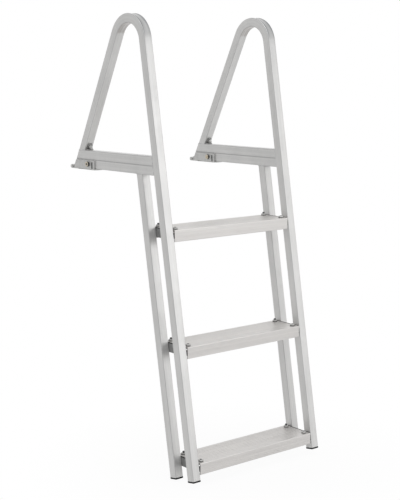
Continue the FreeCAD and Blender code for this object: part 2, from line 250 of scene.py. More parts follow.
@dataclass(frozen=True)
class Finish:
    """Base of the finishes: a name and the record's slot it stands for."""

    name: str
    slot: Slot

    def dress(self, graph: Graph) -> None:
        """Builds the finish's nodes."""
        raise NotImplementedError

    def material(self) -> bpy.types.Material:
        """The finish's material, made on first use.

        Returns:
            The material, shared by all pieces of this finish.
        """
        found = bpy.data.materials.get(self.name)
        if found:
            return found
        made = bpy.data.materials.new(self.name)
        made.use_nodes = True
        self.dress(Graph(made.node_tree))
        return made


@dataclass(frozen=True)
class DrawnAluminium(Finish):
    """Mill-finish aluminium with die lines, a soft mottle and handling marks.

    On a tube each corner carries a darker line of painted shade. In its bend the stretched outer skin is
    dull and darkened further by painted shade, with painted shade in the crease beside each corner and a
    painted highlight on the corner itself; the crowded inner skin is darker, partly its own colour and
    partly painted shade.
    """

    grain: Grain = Grain.ALONG_TUBE
    colour: Colour = (0.73, 0.725, 0.715)
    dull: Colour = (0.53, 0.53, 0.525)
    fine: Point = (1500.0, 4.0, 1.0)
    broad: Point = (260.0, 2.2, 1.0)
    mottle: Point = (14.0, 14.0, 9.0)
    marks: Point = (85.0, 85.0, 45.0)
    # dull stretched skin of the bend's outer face, darkened further as painted shade
    stretched: Colour = (0.16, 0.17, 0.18)
    # painted shade in the crease beside each corner of the bend
    crease_shade: Colour = (0.09, 0.095, 0.10)
    # crowded inner skin of the bend: partly its own colour, partly painted shade
    crowded: Colour = (0.42, 0.395, 0.375)
    # painted highlight on the corners of the bend
    ridge_highlight: Colour = triple(0.84)
    metallic: float = 0.42
    roughness: float = 0.27
    line_depth: float = 0.00006
    line_detail: float = 3.0
    mottle_detail: float = 5.0
    mark_detail: float = 6.0
    streak_levels: Span = (0.36, 0.68)
    mark_levels: Span = (0.58, 0.72)
    mottle_levels: Span = (0.35, 0.72)
    # band across each rounded corner that takes the painted corner shade
    corner: Span = (0.0104, 0.0116)
    # band beside each corner where the bend's painted crease shade lies
    crease: Span = (0.0060, 0.0102)
    line_shade: float = 0.2
    streak_shade: float = 0.3
    mottle_shade: float = 0.25
    mark_shade: float = 0.12
    painted_corner_shade: float = 0.7
    line_rough: float = 0.10
    mottle_rough: float = 0.06
    mark_rough: float = 0.08
    stretch_cover: Span = (0.85, 0.15)
    crease_shade_cover: float = 0.7
    crowd_cover: Span = (0.3, 0.6)
    ridge_highlight_cover: float = 1.1

    def beyond(self, graph: Graph, span: Span) -> Signal | float:
        """0 up to a distance from a tube's middle line, rising to 1 at a second one.

        Args:
            graph: The material's graph.
            span: The two distances, in metres.

        Returns:
            The rising signal, or plain 0 away from the tubes.
        """
        if self.grain is not Grain.ALONG_TUBE:
            return 0.0
        wide = graph.node("ShaderNodeMath", {"operation": "ABSOLUTE"}, {0: graph.axis(self.grain, "X")})
        return graph.rise(wide, span)

    def bent(self, graph: Graph, plain: Signal, corner: Signal, streaks: Signal) -> Signal:
        """Colour with the skin of the bend on top, which follows the bend's attribute.

        Args:
            graph: The material's graph.
            plain: Colour of the straight tube.
            corner: 1 on the corner lines of painted shade, which carry the painted highlight in the bend.
            streaks: Streaks along the tube.

        Returns:
            The whole tube's colour.
        """
        bend = graph.node("ShaderNodeAttribute", {"attribute_name": BEND}, {}, "Fac")
        outer = bend.highest(0.0)
        inner = (0.0 - bend).highest(0.0)
        even, uneven = self.stretch_cover
        # outer skin of the bend: its dull stretched skin, darkened further as painted shade
        skin = graph.blend(outer * (even + streaks * uneven), plain, self.stretched)
        # painted shade in the crease beside each corner of the bend
        skin = graph.blend(outer * self.beyond(graph, self.crease) * self.crease_shade_cover, skin, self.crease_shade)
        even, uneven = self.crowd_cover
        # crowded inner skin: partly its own colour, partly painted shade
        skin = graph.blend(inner * (even + streaks * uneven), skin, self.crowded)
        # painted highlight on the bend's corners
        return graph.blend(outer * corner * self.ridge_highlight_cover, skin, self.ridge_highlight)

    def dress(self, graph: Graph) -> None:
        """Builds the finish's nodes.

        Args:
            graph: The material's graph.
        """
        lines = graph.noise(self.grain, self.fine, self.line_detail)
        streaks = graph.patches(self.grain, self.broad, self.line_detail, self.streak_levels)
        marks = graph.patches(Grain.IN_PLACE, self.marks, self.mark_detail, self.mark_levels)
        mottle = graph.patches(Grain.IN_PLACE, self.mottle, self.mottle_detail, self.mottle_levels)
        # painted shade along each rounded corner of a tube
        corner = self.beyond(graph, self.corner)
        shade = (mottle * self.mottle_shade + lines * self.line_shade + streaks * self.streak_shade
                 + marks * self.mark_shade + corner * self.painted_corner_shade)
        colour = graph.blend(shade, self.colour, self.dull)
        if self.grain is Grain.ALONG_TUBE:
            colour = self.bent(graph, colour, corner, streaks)
        graph.surface({
            "Base Color": colour,
            "Metallic": self.metallic,
            "Roughness": (self.roughness + lines * self.line_rough + mottle * self.mottle_rough
                          + marks * self.mark_rough),
            "Normal": graph.bump(lines, self.line_depth),
        })


@dataclass(frozen=True)
class PlateFinish(Finish):
    """Rolled, plated or cast metal with a fine tooth and worn patches."""

    colour: Colour = (0.62, 0.62, 0.61)
    worn: Colour = (0.50, 0.50, 0.49)
    metallic: float = 0.7
    roughness: float = 0.42
    tooth: float = 900.0
    tooth_depth: float = 0.00004
    tooth_detail: float = 3.0
    patch_detail: float = 5.0
    patch: float = 120.0
    patch_levels: Span = (0.4, 0.66)
    patch_shade: float = 0.7
    tooth_shade: float = 0.2
    patch_rough: float = 0.08
    tooth_rough: float = 0.12

    def tint(self, graph: Graph, plain: Signal) -> Signal:
        """Base colour, which some plates change."""
        return plain

    def dress(self, graph: Graph) -> None:
        """Builds the finish's nodes.

        Args:
            graph: The material's graph.
        """
        tooth = graph.noise(Grain.IN_PLACE, triple(self.tooth), self.tooth_detail)
        patches = graph.patches(Grain.IN_PLACE, triple(self.patch), self.patch_detail, self.patch_levels)
        shade = patches * self.patch_shade + tooth * self.tooth_shade
        graph.surface({
            "Base Color": self.tint(graph, graph.blend(shade, self.colour, self.worn)),
            "Metallic": self.metallic,
            "Roughness": self.roughness + tooth * self.tooth_rough + patches * self.patch_rough,
            "Normal": graph.bump(tooth, self.tooth_depth),
        })


@dataclass(frozen=True)
class FootedPlateFinish(PlateFinish):
    """Plate that rests on the dock, its foot edge darkened by painted shade that deepens towards the rear."""

    painted_foot_shade: Colour = (0.15, 0.145, 0.14)
    foot: Span = (0.0028, 0.0014)
    rear: Span = (0.004, 0.022)
    curl: Span = (0.030, 0.024)
    front_cover: float = 0.3

    def tint(self, graph: Graph, plain: Signal) -> Signal:
        """Base colour with the painted shade on its foot edge.

        Args:
            graph: The material's graph.
            plain: Colour of the plate without the painted shade.

        Returns:
            The plate's colour.
        """
        back = graph.axis(Grain.IN_PLACE, "Y")
        along = self.front_cover + graph.rise(back, self.rear) * (1.0 - self.front_cover)
        # painted shade on the base's foot edge, lighter at the front and gone at the curl
        cover = graph.rise(graph.axis(Grain.IN_PLACE, "Z"), self.foot) * along * graph.rise(back, self.curl)
        return graph.blend(cover, plain, self.painted_foot_shade)


@dataclass(frozen=True)
class BlackFinish(Finish):
    """Black moulding, rubber or paint: a fine skin with slightly greyer rubbed patches."""

    colour: Colour = (0.008, 0.008, 0.009)
    rubbed: Colour = triple(0.022)
    roughness: float = 0.48
    specular: float = 0.2
    skin: float = 1400.0
    skin_depth: float = 0.00005
    skin_detail: float = 2.0
    patch_detail: float = 5.0
    patch: float = 90.0
    patch_levels: Span = (0.45, 0.75)
    patch_shade: float = 0.8
    patch_rough: float = 0.08
    skin_rough: float = 0.14

    def dress(self, graph: Graph) -> None:
        """Builds the finish's nodes.

        Args:
            graph: The material's graph.
        """
        skin = graph.noise(Grain.IN_PLACE, triple(self.skin), self.skin_detail)
        patches = graph.patches(Grain.IN_PLACE, triple(self.patch), self.patch_detail, self.patch_levels)
        graph.surface({
            "Base Color": graph.blend(patches * self.patch_shade, self.colour, self.rubbed),
            "Roughness": self.roughness + skin * self.skin_rough + patches * self.patch_rough,
            "Specular IOR Level": self.specular,
            "Normal": graph.bump(skin, self.skin_depth),
        })


@dataclass(frozen=True)
class Finishes:
    """All finishes of the ladder."""

    tube: Finish = DrawnAluminium("tube_drawn_aluminium", Slot.TUBE)
    tread: Finish = DrawnAluminium("tread_extruded_aluminium", Slot.TREAD, Grain.IN_PLACE,
                                   (0.735, 0.715, 0.695), (0.57, 0.555, 0.545), (4.0, 1300.0, 1300.0),
                                   (2.5, 220.0, 220.0), (4.0, 12.0, 12.0), (20.0, 110.0, 110.0))
    weld: Finish = PlateFinish("weld_bead", Slot.TUBE, triple(0.66), triple(0.48), 0.7, 0.40)
    bracket: Finish = FootedPlateFinish("bracket_folded_plate", Slot.BRACKET, (0.62, 0.62, 0.61),
                                        (0.54, 0.54, 0.53), 0.5)
    cast: Finish = PlateFinish("lug_cast_aluminium", Slot.CAST, triple(0.50), triple(0.40), 0.6, 0.5, 600.0,
                               0.00012)
    steel: Finish = PlateFinish("zinc_plated_steel", Slot.STEEL, (0.62, 0.62, 0.61), (0.48, 0.48, 0.47),
                                0.8, 0.30)
    # dark steel of threaded ends and collars; also painted shade for washers, nut flanks, bolt end, cleat
    # ring and tread gaps
    dark_steel: Finish = PlateFinish("dark_steel_and_painted_shade", Slot.STEEL, triple(0.055), triple(0.11), 0.6, 0.42)
    yellow_zinc: Finish = PlateFinish("yellow_zinc_plated_steel", Slot.YELLOW_ZINC, (0.60, 0.545, 0.43),
                                      (0.50, 0.45, 0.37), 0.85, 0.34)
    # grey darker than the bare plate: painted shade for where the angles sit between the rails
    angle: Finish = PlateFinish("angle_plate_painted_shade", Slot.ANGLE, triple(0.36), triple(0.24), 0.5, 0.40)
    cleat: Finish = PlateFinish("cleat_dark_plate", Slot.CLEAT, (0.33, 0.325, 0.32), triple(0.20), 0.6, 0.4)
    buffer: Finish = BlackFinish("buffer_black_rubber", Slot.BUFFER, roughness=0.7)
    cap: Finish = BlackFinish("cap_black_moulding", Slot.CAP)


FINISHES = Finishes()


def picked(result: Mapping[str, Any], kind: type, key: str = "geom") -> list[Any]:
    """The vertices, edges or faces among what an operator handed back."""
    return [item for item in result[key] if isinstance(item, kind)]


def placed(name: str, data: bpy.types.ID) -> bpy.types.Object:
    """New object in the scene, at the origin.

    Args:
        name: Name of the object.
        data: Its mesh, lamp or camera.

    Returns:
        The object.
    """
    made = bpy.data.objects.new(name, data)
    bpy.context.collection.objects.link(made)
    return made


class Shape:
    """A mesh in the making, in millimetres."""

    def __init__(self) -> None:
        """Starts with an empty mesh."""
        self.bm = bmesh.new()

    @classmethod
    def block(cls, low: Point, high: Point) -> "Shape":
        """Block between two corners.

        Args:
            low: Corner with the lowest coordinates.
            high: Corner with the highest ones.

        Returns:
            A closed block.
        """
        made = cls()
        size = Vector(high) - Vector(low)
        middle = (Vector(high) + Vector(low)) / 2.0
        place = Matrix.Translation(middle) @ Matrix.Diagonal((*size, 1.0))
        bmesh.ops.create_cube(made.bm, size=1.0, matrix=place)
        return made

    @classmethod
    def disc(cls, radius: float, height: float, base: Point, axis: Point, segments: int = 36) -> "Shape":
        """Cylinder or prism that starts at a base point and runs along an axis.

        Args:
            radius: Radius to the corners.
            height: Length along the axis.
            base: Middle of the first end.
            axis: Direction of the axis.
            segments: Number of its sides.

        Returns:
            A closed prism.
        """
        made = cls()
        turn = Vector(axis).to_track_quat("Z", "Y").to_matrix().to_4x4()
        place = Matrix.Translation(base) @ turn @ Matrix.Translation((0, 0, height / 2.0))
        bmesh.ops.create_cone(made.bm, cap_ends=True, segments=segments, radius1=radius, radius2=radius,
                              depth=height, matrix=place)
        return made

    @classmethod
    def hexagon(cls, flats: float, height: float, base: Point, axis: Point) -> "Shape":
        """Six-sided prism, measured over its flats."""
        return cls.disc(flats / math.sqrt(3.0), height, base, axis, 6)

    @classmethod
    def from_node(cls, node: str) -> "Shape":
        """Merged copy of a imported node, its flat faces joined.

        Args:
            node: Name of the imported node.

        Returns:
            The copy, in millimetres.
        """
        made = cls()
        made.bm.from_mesh(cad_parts[node].data)
        bmesh.ops.scale(made.bm, vec=(1.0 / MM,) * 3, verts=made.bm.verts)
        bmesh.ops.remove_doubles(made.bm, verts=made.bm.verts, dist=MERGE_REACH)
        bmesh.ops.dissolve_limit(made.bm, angle_limit=math.radians(FLAT_ANGLE), verts=made.bm.verts,
                                 edges=made.bm.edges)
        return made

    def add(self, other: "Shape") -> "Shape":
        """Takes another shape's mesh in.

        Args:
            other: The other shape, which is used up.

        Returns:
            The shape itself.
        """
        spare = bpy.data.meshes.new("spare")
        other.bm.to_mesh(spare)
        self.bm.from_mesh(spare)
        bpy.data.meshes.remove(spare)
        other.bm.free()
        return self

    def soften(self, width: float, segments: int = 2, angle: float = 34.0,
               keep: Callable[[BMEdge], bool] | None = None) -> "Shape":
        """Bevels the edges that turn more than an angle.

        Args:
            width: Width of the bevel.
            segments: Its rows of faces.
            angle: Least turn of an edge, in degrees.
            keep: Picks edges; all sharp ones where it is left out.

        Returns:
            The shape itself.
        """
        sharp = [edge for edge in self.bm.edges
                 if len(edge.link_faces) == 2 and edge.calc_face_angle(0.0) > math.radians(angle)
                 and (keep is None or keep(edge))]
        bmesh.ops.bevel(self.bm, geom=sharp, offset=width, offset_type="OFFSET", segments=segments,
                        profile=0.5, affect="EDGES", material=-1, clamp_overlap=True)
        return self

    def round_corners(self, radius: float) -> None:
        """Rounds the corners of a flat outline."""
        bmesh.ops.bevel(self.bm, geom=self.bm.verts[:], offset=radius, segments=ROUND_ROWS, profile=0.5,
                        affect="VERTICES", material=-1)

    def score(self, point: Point, normal: Point, clear: bool = False) -> list[BMEdge]:
        """Divides the faces along a plane.

        Args:
            point: A point of the plane.
            normal: Its normal.
            clear: Whether what lies on the normal's side goes.

        Returns:
            The edges on the plane.
        """
        everything = self.bm.verts[:] + self.bm.edges[:] + self.bm.faces[:]
        cut = bmesh.ops.bisect_plane(self.bm, geom=everything, plane_co=point, plane_no=normal,
                                     clear_outer=clear, dist=CUT_REACH)
        return picked(cut, BMEdge, "geom_cut")

    def slice(self, point: Point, normal: Point) -> None:
        """Cuts away what lies on the normal's side of a plane and closes the cut."""
        bmesh.ops.holes_fill(self.bm, edges=self.score(point, normal, True))

    def sink(self, faces: list[BMFace], way: Point, rim: float) -> None:
        """Pushes faces in along a way, inset by a rim first.

        Args:
            faces: The faces.
            way: How far they go.
            rim: Width that stays around them.
        """
        bmesh.ops.inset_region(self.bm, faces=faces, thickness=rim, use_even_offset=True, use_boundary=True)
        pushed = bmesh.ops.extrude_face_region(self.bm, geom=faces)
        bmesh.ops.delete(self.bm, geom=faces, context="FACES_KEEP_BOUNDARY")
        self.move(way, picked(pushed, BMVert))

    def draw_out(self, edges: Sequence[BMEdge], way: Sequence[float]) -> None:
        """Draws an open rim out along a way."""
        self.move(way, picked(bmesh.ops.extrude_edge_only(self.bm, edges=edges), BMVert))

    def move(self, way: Sequence[float], verts: Sequence[BMVert] | None = None) -> None:
        """Moves some vertices, or all of them."""
        bmesh.ops.translate(self.bm, vec=way, verts=self.bm.verts if verts is None else verts)

    def stand(self, lean: float, foot: Sequence[float]) -> None:
        """Leans an upright shape by an angle towards +Y and sets it on its foot."""
        bmesh.ops.rotate(self.bm, matrix=Matrix.Rotation(-lean, 3, "X"), verts=self.bm.verts)
        self.move(foot)

    def face_out(self) -> "Shape":
        """Turns all faces outwards."""
        bmesh.ops.recalc_face_normals(self.bm, faces=self.bm.faces)
        return self

    def mirrored(self) -> "Shape":
        """Mirror image on the right side frame.

        Returns:
            The shape itself.
        """
        bmesh.ops.scale(self.bm, vec=(-1.0, 1.0, 1.0), verts=self.bm.verts)
        self.move((FRAME_SPACING, 0.0, 0.0))
        bmesh.ops.reverse_faces(self.bm, faces=self.bm.faces)
        return self

    def piece(self, name: str, body: Body, finish: Finish, *nodes: str,
              side: Side | None = None) -> bpy.types.Object:
        """Finishes the shape as a piece of the ladder.

        Args:
            name: Name of the piece, without its side.
            body: Body that it rides on.
            finish: Its finish.
            *nodes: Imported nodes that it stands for, without their side.
            side: Side frame that it belongs to; the right one gets the mirror image.

        Returns:
            The new object.
        """
        if side is Side.RIGHT:
            self.mirrored()
        tail = f"_{side.value}" if side else ""
        bmesh.ops.scale(self.bm, vec=(MM,) * 3, verts=self.bm.verts)
        for face in self.bm.faces:
            face.smooth = True
        mesh = bpy.data.meshes.new(name + tail)
        self.bm.to_mesh(mesh)
        self.bm.free()
        mesh.set_sharp_from_angle(angle=math.radians(CREASE_ANGLE))
        mesh.materials.append(finish.material())
        made = placed(name + tail, mesh)
        even = made.modifiers.new("even_normals", "WEIGHTED_NORMAL")
        even.keep_sharp = True
        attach(made, body.value)
        if nodes:
            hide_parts(*(node + tail for node in nodes))
        LOG.info("%s: %d faces", made.name, len(mesh.polygons))
        return made


def tilted(lean: float) -> Vector:
    """Unit vector up a tube that leans by an angle towards +Y."""
    return Vector((0.0, math.sin(lean), math.cos(lean)))


def waterward(lean: float) -> Vector:
    """Unit vector square to a leaning tube, towards the water."""
    return Vector((0.0, -math.cos(lean), math.sin(lean)))


@dataclass(frozen=True)
class WeldBead:
    """Rippled weld bead laid along straight runs."""

    radius: float = 1.5
    ripple: float = 1.7
    pinch: float = 0.80
    tip: float = 0.5
    sides: int = 8

    def run(self, start: Sequence[float], end: Sequence[float]) -> Shape:
        """Bead from one point to another.

        Args:
            start: First point of the bead's middle line.
            end: Last point of it.

        Returns:
            A closed, rippled bar.
        """
        shape = Shape()
        first = Vector(start)
        path = Vector(end) - first
        steps = max(2, round(path.length / self.ripple))
        stride = path / (2.0 * steps)
        turn = path.to_track_quat("Z", "Y").to_matrix().to_4x4()
        bmesh.ops.create_circle(shape.bm, cap_ends=True, segments=self.sides, radius=self.radius * self.tip,
                                matrix=Matrix.Translation(first) @ turn)
        tip = shape.bm.faces[:]
        level = self.tip
        for step in range(1, 2 * steps + 1):
            wanted = self.tip if step == 2 * steps else (1.0 if step % 2 else self.pinch)
            grown = bmesh.ops.extrude_face_region(shape.bm, geom=tip)
            if step > 1:
                bmesh.ops.delete(shape.bm, geom=tip, context="FACES_ONLY")
            tip = picked(grown, BMFace)
            ring = picked(grown, BMVert)
            shape.move(stride, ring)
            spot = Matrix.Translation(-(first + stride * step))
            bmesh.ops.scale(shape.bm, vec=(wanted / level,) * 3, space=spot, verts=ring)
            level = wanted
        return shape.face_out()

    def chain(self, runs: Iterable[tuple[Sequence[float], Sequence[float]]]) -> Shape:
        """Several beads as one shape.

        Args:
            runs: Start and end of each bead.

        Returns:
            All beads.
        """
        shape = Shape()
        for start, end in runs:
            shape.add(self.run(start, end))
        return shape


@dataclass(frozen=True)
class BoltedNut:
    """Hexagon nut on a dark washer that stands for painted shade under it, with the dark threaded end of its
    bolt.
    """

    thread_end: float
    flats: float = 12.0
    nut: float = 4.0
    washer: float = 6.9
    washer_thickness: float = 1.3
    thread: float = 3.0
    pitch: float = 1.1
    nut_edge: float = 0.6
    washer_edge: float = 0.3
    crest_edge: float = 0.32
    sunk: float = 0.3

    def bright(self, seat: Vector, out: Vector) -> Shape:
        """The nut, above a seat, along an axis."""
        base = seat + out * self.washer_thickness
        return Shape.hexagon(self.flats, self.nut, base, out).soften(self.nut_edge, NUT_ROWS)

    def dark(self, seat: Vector, out: Vector) -> Shape:
        """The dark washer on the seat, painted shade under the nut, and the dark threaded end above the nut.

        Args:
            seat: Middle of the nut on the metal.
            out: Direction of the bolt.

        Returns:
            Both parts.
        """
        # dark washer: painted shade under the nut
        shape = Shape.disc(self.washer, self.washer_thickness, seat, out).soften(self.washer_edge)
        for turn in range(round(self.thread_end / self.pitch)):
            crest = seat + out * (self.washer_thickness + self.nut - self.sunk + turn * self.pitch)
            shape.add(Shape.disc(self.thread, self.pitch, crest, out, SHAFT_SIDES).soften(self.crest_edge, 1))
        return shape


@dataclass
class SideFrame:
    """Square-tube frame of one side: leaning rails, hairpin handrail and stacked deck rails."""

    tube: float = 25.0
    corner: float = 2.0
    deck_corner: float = 0.5
    wall: float = 1.6
    lean: float = math.radians(9.85)
    leg_lean: float = math.radians(27.2)
    front_rail_y: float = -334.0
    rail_pitch: float = 76.2
    hairpin_radius: float = 65.0
    front_foot_z: float = -797.0
    rear_foot_z: float = -807.0
    rail_stock: float = 1000.0
    cap_flange: float = 4.7
    cap_edge: float = 1.1
    sole_rim: float = 3.2
    sole_dish: float = 0.9
    slot_edge: float = 0.3
    deck_z: float = 3.4
    deck_rear_y: float = 55.0
    plug_room: float = 28.0
    bend_steps: int = 40
    skin_cuts: int = 3
    # fades of the bend's dull skin, painted shade and painted highlight along the tube
    bend_ease: float = 40.0
    bend_shares: tuple[Span, ...] = ((-190.0, 0.0), (-18.0, 0.12), (0.0, 0.22), (40.0, 1.0))
    crowd_ease: float = 8.0
    dish: float = 1.4
    wrinkle: float = 0.45
    wrinkle_length: float = 15.0
    bead: WeldBead = WeldBead()
    bead_sunk: float = 0.4
    bead_short: float = 1.0

    @property
    def half(self) -> float:
        """Half the tube's width."""
        return self.tube / 2.0

    @property
    def deck_top(self) -> float:
        """Height of the upper deck rail's top."""
        return self.deck_z + 2.0 * self.tube

    def rail_y(self, z: float) -> float:
        """Middle of the front rail at a height."""
        return self.front_rail_y + z * math.tan(self.lean)

    def cut_y(self, z: float) -> float:
        """Slanted rear end of the deck rails at a height."""
        return self.deck_rear_y - (z - self.deck_z) * math.tan(self.leg_lean)

    def leg_y(self, z: float) -> float:
        """Middle of the leg at a height."""
        return self.cut_y(z) - self.half / math.cos(self.leg_lean)

    def bend_centre(self) -> Vector:
        """Middle of the hairpin bend.

        Returns:
            The middle, on the left frame.
        """
        gap = self.hairpin_radius / math.cos(self.lean) + self.hairpin_radius / math.cos(self.leg_lean)
        z = (self.leg_y(0.0) - self.rail_y(0.0) - gap) / (math.tan(self.lean) + math.tan(self.leg_lean))
        return Vector((0.0, self.rail_y(z) + self.hairpin_radius / math.cos(self.lean), z))

    def bend_share(self, across: float, along: float, bend_length: float) -> float:
        """How far the skin is bent at a spot, which sets its dull colour, painted shade and highlight.

        Args:
            across: Distance from the tube's middle line, above 0 on the outer side.
            along: Distance from the start of the bend, below 0 on the rail.
            bend_length: Length of the bend.

        Returns:
            Up to 1 where the outer skin is stretched, down to -1 where the inner one is crowded.
        """
        if across < 0.0:
            return -min(1.0, max(0.0, min(along, bend_length - along) / self.crowd_ease))
        if along > bend_length:
            return max(0.0, 1.0 - (along - bend_length) / self.bend_ease)
        for (low, first), (high, last) in pairwise(self.bend_shares):
            if along < high:
                return max(first, first + (last - first) * (along - low) / (high - low))
        return 1.0

    def lay_grain(self, shape: Shape, place: Callable[[Vector, Vector], Span],
                  bend_length: float = 0.0) -> Shape:
        """Gives a tube the map that its die lines and painted corner shade follow, and marks the skin of its
        bend for its dull colour, painted shade and painted highlight.

        Args:
            shape: The tube.
            place: Gives (across, along) of a point, from its face's middle and itself.
            bend_length: Length of the bend, which starts where along is 0; 0 for a straight tube.

        Returns:
            The shape itself.
        """
        if bend_length:
            mark = shape.bm.verts.layers.float.new(BEND)
            for vert in shape.bm.verts:
                across, along = place(vert.co, vert.co)
                depth = (abs(across) - self.half + self.corner) / self.corner
                vert[mark] = min(1.0, max(0.0, depth)) * self.bend_share(across, along, bend_length)
        layer = shape.bm.loops.layers.uv.new("grain")
        for face in shape.bm.faces:
            middle = face.calc_center_median()
            flat = abs(face.normal.x) > SIDEWAYS
            for loop in face.loops:
                across, along = place(middle, loop.vert.co)
                side = across if flat else loop.vert.co.x
                loop[layer].uv = (side * MM, along * MM)
        return shape

    def front_rail(self) -> Shape:
        """Rail, hairpin bend and leg in one bent tube.

        Returns:
            The closed tube, with its die lines and its bend marked.
        """
        shape = Shape()
        centre = self.bend_centre()
        up = tilted(self.lean)
        down_leg = -tilted(-self.leg_lean)
        start = centre + waterward(self.lean) * self.hairpin_radius
        finish = centre - waterward(-self.leg_lean) * self.hairpin_radius
        turn = Matrix.Rotation(-self.lean, 4, "X") @ Matrix.Rotation(math.pi / 4.0, 4, "Z")
        bmesh.ops.create_circle(shape.bm, cap_ends=False, segments=4, radius=self.half * math.sqrt(2.0),
                                matrix=Matrix.Translation(start) @ turn)
        shape.round_corners(self.corner)
        skins = [edge for edge in shape.bm.edges
                 if edge.calc_length() > self.half and abs(edge.verts[0].co.x + edge.verts[1].co.x) < NEAR]
        bmesh.ops.subdivide_edges(shape.bm, edges=skins, cuts=self.skin_cuts)
        swept = bmesh.ops.spin(shape.bm, geom=shape.bm.verts[:] + shape.bm.edges[:], cent=centre,
                               axis=(1, 0, 0), dvec=(0, 0, 0), angle=self.lean + self.leg_lean - math.pi,
                               steps=self.bend_steps, use_merge=False, use_normal_flip=False,
                               use_duplicate=False)
        foot = Vector((0.0, self.rail_y(self.front_foot_z), self.front_foot_z)) + up * self.cap_flange
        leg_length = (finish.z - self.deck_top) / math.cos(self.leg_lean) + self.tube
        shape.draw_out(picked(swept, BMEdge, "geom_last"), down_leg * leg_length)
        shape.slice((0.0, 0.0, self.deck_top), (0.0, 0.0, -1.0))
        shape.draw_out([edge for edge in shape.bm.edges if edge.is_boundary], foot - start)
        bmesh.ops.holes_fill(shape.bm, edges=[edge for edge in shape.bm.edges if edge.is_boundary])
        shape.face_out()
        bend_length = self.hairpin_radius * (math.pi - self.lean - self.leg_lean)
        for along, _ in self.bend_shares[:2]:
            shape.score(start + up * along, up)
        shape.score(finish + down_leg * self.bend_ease, down_leg)

        def place(middle: Vector, point: Vector) -> Span:
            """Across and along the bent tube.

            Args:
                middle: Middle of the face, or the point itself.
                point: A point of the tube.

            Returns:
                Distance from the middle line and along it.
            """
            on_leg = middle.y > centre.y
            if not on_leg and (middle - start).dot(up) < 0.0:
                return (point - start).dot(waterward(self.lean)), (point - start).dot(up)
            if on_leg and (middle - finish).dot(down_leg) > 0.0:
                off = -(point - finish).dot(waterward(-self.leg_lean))
                return off, bend_length + (point - finish).dot(down_leg)
            arm = point - centre
            turned = math.pi - self.lean - math.atan2(arm.z, arm.y)
            return math.hypot(arm.y, arm.z) - self.hairpin_radius, self.hairpin_radius * turned

        for vert in shape.bm.verts:
            across, along = place(vert.co, vert.co)
            if abs(vert.co.x) < self.half - self.corner - NEAR and 0.0 < along < bend_length:
                crown = (1.0 - (vert.co.x / self.half) ** 2) * math.sin(math.pi * along / bend_length)
                ripple = self.wrinkle * math.sin(2.0 * math.pi * along / self.wrinkle_length)
                arm = (vert.co - centre).normalized()
                vert.co -= Vector((0.0, arm.y, arm.z)) * crown * (self.dish if across > 0.0 else ripple)
        return self.lay_grain(shape, place, bend_length)

    def bar(self, low: Point, high: Point, way: Vector, corner: float) -> Shape:
        """Straight tube with rounded long edges that run along a way.

        Args:
            low: Corner with the lowest coordinates.
            high: Corner with the highest ones.
            way: Direction of the long edges.
            corner: Their radius.

        Returns:
            A closed bar.
        """
        def runs(edge: BMEdge) -> bool:
            """Whether an edge runs along the way."""
            return abs((edge.verts[1].co - edge.verts[0].co).normalized().dot(way)) > ALIGNED
        return Shape.block(low, high).soften(corner, ROUND_ROWS, keep=runs)

    def rear_rail(self) -> Shape:
        """Straight rear rail, cut level under the lower deck rail.

        Returns:
            The closed rail.
        """
        h = self.half
        foot = Vector((0.0, self.rail_y(self.rear_foot_z) + self.rail_pitch, self.rear_foot_z))
        foot += tilted(self.lean) * self.cap_flange
        shape = self.bar((-h, -h, 0.0), (h, h, self.rail_stock), Vector(UP), self.corner)
        shape.stand(self.lean, foot)
        shape.slice((0.0, 0.0, self.deck_z), UP)
        return self.lay_grain(shape, lambda middle, point: (
            (point - foot).dot(waterward(self.lean)), (point - foot).dot(tilted(self.lean))))

    def deck_rail(self, low: float) -> Shape:
        """Deck rail with a slanted, open rear end.

        Args:
            low: Height of the rail's underside.

        Returns:
            The rail, hollow where its plug sits.
        """
        h = self.half
        high = low + self.tube
        shape = self.bar((-h, self.front_rail_y, low), (h, self.deck_rear_y + self.tube, high),
                         Vector((0, 1, 0)), self.deck_corner)
        shape.slice((0.0, self.rail_y(low) + h / math.cos(self.lean), low), waterward(self.lean))
        back = -waterward(-self.leg_lean)
        shape.slice((0.0, self.cut_y(low), low), back)
        end = [face for face in shape.bm.faces if face.normal.dot(back) > ALIGNED]
        shape.sink(end, (0.0, -self.plug_room, 0.0), self.wall)
        return self.lay_grain(shape, lambda middle, point: (point.z - low - h, point.y))

    def lower_deck_rail(self) -> Shape:
        """Deck rail with a slot that drops over the cross bolt.

        Returns:
            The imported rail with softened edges.
        """
        middle_z = self.deck_z + self.half
        shape = Shape.from_node("deck_rail_lower_left").soften(self.slot_edge)
        return self.lay_grain(shape, lambda middle, point: (point.z - middle_z, point.y))

    def weld_runs(self) -> list[tuple[Point, Point]]:
        """Start and end of every weld bead of one frame.

        Returns:
            Pairs of points.
        """
        h = self.half
        inset = h - self.corner
        foot, top = self.deck_z, self.deck_top
        face = h / math.cos(self.lean)
        leg_half = h / math.cos(self.leg_lean)
        joint = self.rail_y(foot) + face
        joint_top = self.rail_y(top) + face
        rear = self.rail_y(foot) + self.rail_pitch
        leg = self.leg_y(top)
        across = ((joint, foot), (joint_top, top), (rear - face, foot), (rear + face, foot),
                  (leg + leg_half, top))
        runs = [((-inset, y, z), (inset, y, z)) for y, z in across]
        for x in (-h + self.bead_sunk, h - self.bead_sunk):
            runs += [((x, joint, foot + self.bead_short), (x, joint_top, top - self.bead_short)),
                     ((x, rear - face, foot), (x, rear + face, foot)),
                     ((x, leg - leg_half, top), (x, leg + leg_half, top))]
        return runs

